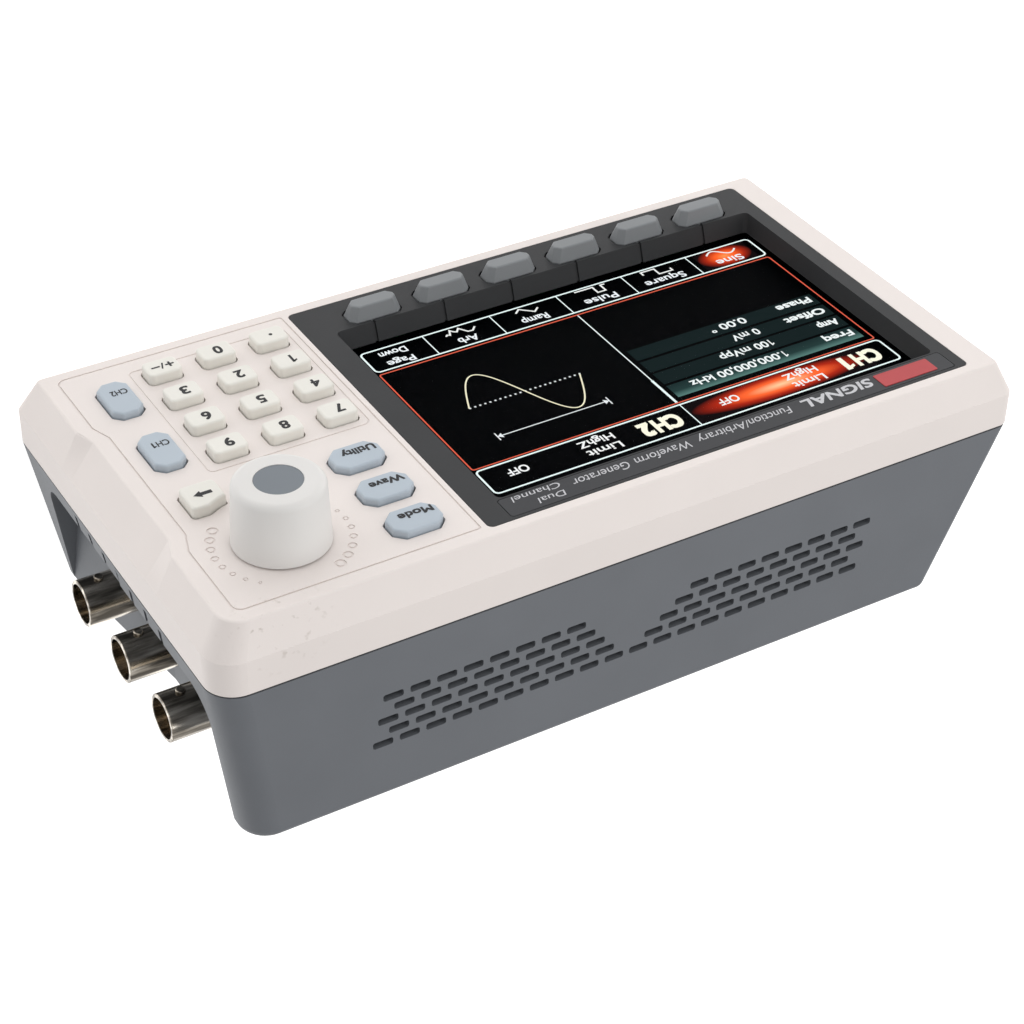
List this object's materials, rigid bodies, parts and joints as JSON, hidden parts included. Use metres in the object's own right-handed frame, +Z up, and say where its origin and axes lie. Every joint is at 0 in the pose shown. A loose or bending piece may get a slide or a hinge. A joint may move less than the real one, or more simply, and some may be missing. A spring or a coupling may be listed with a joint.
{
  "type": "function generator",
  "caption": "Bench waveform generator with a display, soft keys, number keys, a turning knob and side BNC sockets in a tapered two-part case.",
  "frame": {"origin": "centre of the bounding box's bottom face, on the bench top under the rubber feet", "axes": "+X to the user's right, towards the BNC sockets; -Y the way the display and keys face; +Z up"},
  "size_m": [0.1774, 0.064, 0.0954],
  "materials": {
    "cream_plastic": "fine satin texture",
    "grey_plastic": "fine texture",
    "dark_plastic": "satin",
    "strip_plastic": "printed",
    "red_plastic": "satin",
    "window_glass": "clear",
    "display": "dark display",
    "board": "solder mask",
    "switch_plastic": "plain",
    "chip_black": "moulded",
    "tinned_steel": "tinned",
    "aluminium": "plain",
    "ribbon_plastic": "flat cable",
    "zinc": "zinc plated",
    "knob_plastic": "soft satin",
    "disc_plastic": "satin",
    "nickel": "nickel plated",
    "white_plastic": "plain",
    "gold": "gold plated",
    "rubber": "matt",
    "key_cream": "soft satin",
    "key_blue": "soft satin",
    "key_grey": "soft satin"
  },
  "bodies": {
    "case": {"front_bezel": "cream_plastic", "rear_housing": "grey_plastic", "screen_frame": "dark_plastic", "label_strip": "strip_plastic", "badge": "red_plastic", "display_window": "window_glass", "lcd_module": "display", "key_board": "board", "tact_switches": "switch_plastic", "main_board": "board", "board_chips": "chip_black", "shield_can": "tinned_steel", "heat_sink": "aluminium", "capacitors": "aluminium", "ribbon_cables": "ribbon_plastic", "encoder_housing": "zinc", "bnc_shell_1": "nickel", "bnc_shell_2": "nickel", "bnc_shell_3": "nickel", "bnc_bodies": "switch_plastic", "bnc_insulators": "white_plastic", "bnc_contacts": "gold", "bnc_nuts": "nickel", "dc_jack": "switch_plastic", "dc_pin": "nickel", "switch_frame": "switch_plastic", "rubber_feet": "rubber", "case_screws": "zinc", "board_screws": "zinc"},
    "knob": {"encoder_shaft": "aluminium", "knob_cap": "knob_plastic", "knob_disc": "disc_plastic"},
    "power_rocker": {"switch_rocker": "switch_plastic"},
    "key_dot_body": {"key_dot": "key_cream"},
    "key_0_body": {"key_0": "key_cream"},
    "key_sign_body": {"key_sign": "key_cream"},
    "key_1_body": {"key_1": "key_cream"},
    "key_2_body": {"key_2": "key_cream"},
    "key_3_body": {"key_3": "key_cream"},
    "key_4_body": {"key_4": "key_cream"},
    "key_5_body": {"key_5": "key_cream"},
    "key_6_body": {"key_6": "key_cream"},
    "key_7_body": {"key_7": "key_cream"},
    "key_8_body": {"key_8": "key_cream"},
    "key_9_body": {"key_9": "key_cream"},
    "key_utility_body": {"key_utility": "key_blue"},
    "key_wave_body": {"key_wave": "key_blue"},
    "key_mode_body": {"key_mode": "key_blue"},
    "key_ch1_body": {"key_ch1": "key_blue"},
    "key_ch2_body": {"key_ch2": "key_blue"},
    "key_left_body": {"key_left": "key_cream"},
    "key_right_body": {"key_right": "key_cream"},
    "soft_key_1_body": {"soft_key_1": "key_grey"},
    "soft_key_2_body": {"soft_key_2": "key_grey"},
    "soft_key_3_body": {"soft_key_3": "key_grey"},
    "soft_key_4_body": {"soft_key_4": "key_grey"},
    "soft_key_5_body": {"soft_key_5": "key_grey"},
    "soft_key_6_body": {"soft_key_6": "key_grey"}
  },
  "joints": [
    {"name": "knob_turn", "type": "hinge", "parent": "case", "child": "knob", "pos_m": [0.0646, -0.0248, 0.0754], "axis": [0, 1, 0], "continuous": true},
    {"name": "power_rock", "type": "hinge", "parent": "case", "child": "power_rocker", "pos_m": [-0.0105, 0.0274, 0.0115], "axis": [0, 0, 1], "range_deg": [-14, 0]},
    {"name": "key_dot_press", "type": "slide", "parent": "case", "child": "key_dot_body", "axis": [0, 1, 0], "range_m": [0, 0.0009], "stiffness_N_per_m": 400},
    {"name": "key_0_press", "type": "slide", "parent": "case", "child": "key_0_body", "axis": [0, 1, 0], "range_m": [0, 0.0009], "stiffness_N_per_m": 400},
    {"name": "key_sign_press", "type": "slide", "parent": "case", "child": "key_sign_body", "axis": [0, 1, 0], "range_m": [0, 0.0009], "stiffness_N_per_m": 400},
    {"name": "key_1_press", "type": "slide", "parent": "case", "child": "key_1_body", "axis": [0, 1, 0], "range_m": [0, 0.0009], "stiffness_N_per_m": 400},
    {"name": "key_2_press", "type": "slide", "parent": "case", "child": "key_2_body", "axis": [0, 1, 0], "range_m": [0, 0.0009], "stiffness_N_per_m": 400},
    {"name": "key_3_press", "type": "slide", "parent": "case", "child": "key_3_body", "axis": [0, 1, 0], "range_m": [0, 0.0009], "stiffness_N_per_m": 400},
    {"name": "key_4_press", "type": "slide", "parent": "case", "child": "key_4_body", "axis": [0, 1, 0], "range_m": [0, 0.0009], "stiffness_N_per_m": 400},
    {"name": "key_5_press", "type": "slide", "parent": "case", "child": "key_5_body", "axis": [0, 1, 0], "range_m": [0, 0.0009], "stiffness_N_per_m": 400},
    {"name": "key_6_press", "type": "slide", "parent": "case", "child": "key_6_body", "axis": [0, 1, 0], "range_m": [0, 0.0009], "stiffness_N_per_m": 400},
    {"name": "key_7_press", "type": "slide", "parent": "case", "child": "key_7_body", "axis": [0, 1, 0], "range_m": [0, 0.0009], "stiffness_N_per_m": 400},
    {"name": "key_8_press", "type": "slide", "parent": "case", "child": "key_8_body", "axis": [0, 1, 0], "range_m": [0, 0.0009], "stiffness_N_per_m": 400},
    {"name": "key_9_press", "type": "slide", "parent": "case", "child": "key_9_body", "axis": [0, 1, 0], "range_m": [0, 0.0009], "stiffness_N_per_m": 400},
    {"name": "key_utility_press", "type": "slide", "parent": "case", "child": "key_utility_body", "axis": [0, 1, 0], "range_m": [0, 0.0009], "stiffness_N_per_m": 400},
    {"name": "key_wave_press", "type": "slide", "parent": "case", "child": "key_wave_body", "axis": [0, 1, 0], "range_m": [0, 0.0009], "stiffness_N_per_m": 400},
    {"name": "key_mode_press", "type": "slide", "parent": "case", "child": "key_mode_body", "axis": [0, 1, 0], "range_m": [0, 0.0009], "stiffness_N_per_m": 400},
    {"name": "key_ch1_press", "type": "slide", "parent": "case", "child": "key_ch1_body", "axis": [0, 1, 0], "range_m": [0, 0.0009], "stiffness_N_per_m": 400},
    {"name": "key_ch2_press", "type": "slide", "parent": "case", "child": "key_ch2_body", "axis": [0, 1, 0], "range_m": [0, 0.0009], "stiffness_N_per_m": 400},
    {"name": "key_left_press", "type": "slide", "parent": "case", "child": "key_left_body", "axis": [0, 1, 0], "range_m": [0, 0.0009], "stiffness_N_per_m": 400},
    {"name": "key_right_press", "type": "slide", "parent": "case", "child": "key_right_body", "axis": [0, 1, 0], "range_m": [0, 0.0009], "stiffness_N_per_m": 400},
    {"name": "soft_key_1_press", "type": "slide", "parent": "case", "child": "soft_key_1_body", "axis": [0, 1, 0], "range_m": [0, 0.0009], "stiffness_N_per_m": 400},
    {"name": "soft_key_2_press", "type": "slide", "parent": "case", "child": "soft_key_2_body", "axis": [0, 1, 0], "range_m": [0, 0.0009], "stiffness_N_per_m": 400},
    {"name": "soft_key_3_press", "type": "slide", "parent": "case", "child": "soft_key_3_body", "axis": [0, 1, 0], "range_m": [0, 0.0009], "stiffness_N_per_m": 400},
    {"name": "soft_key_4_press", "type": "slide", "parent": "case", "child": "soft_key_4_body", "axis": [0, 1, 0], "range_m": [0, 0.0009], "stiffness_N_per_m": 400},
    {"name": "soft_key_5_press", "type": "slide", "parent": "case", "child": "soft_key_5_body", "axis": [0, 1, 0], "range_m": [0, 0.0009], "stiffness_N_per_m": 400},
    {"name": "soft_key_6_press", "type": "slide", "parent": "case", "child": "soft_key_6_body", "axis": [0, 1, 0], "range_m": [0, 0.0009], "stiffness_N_per_m": 400}
  ]
}
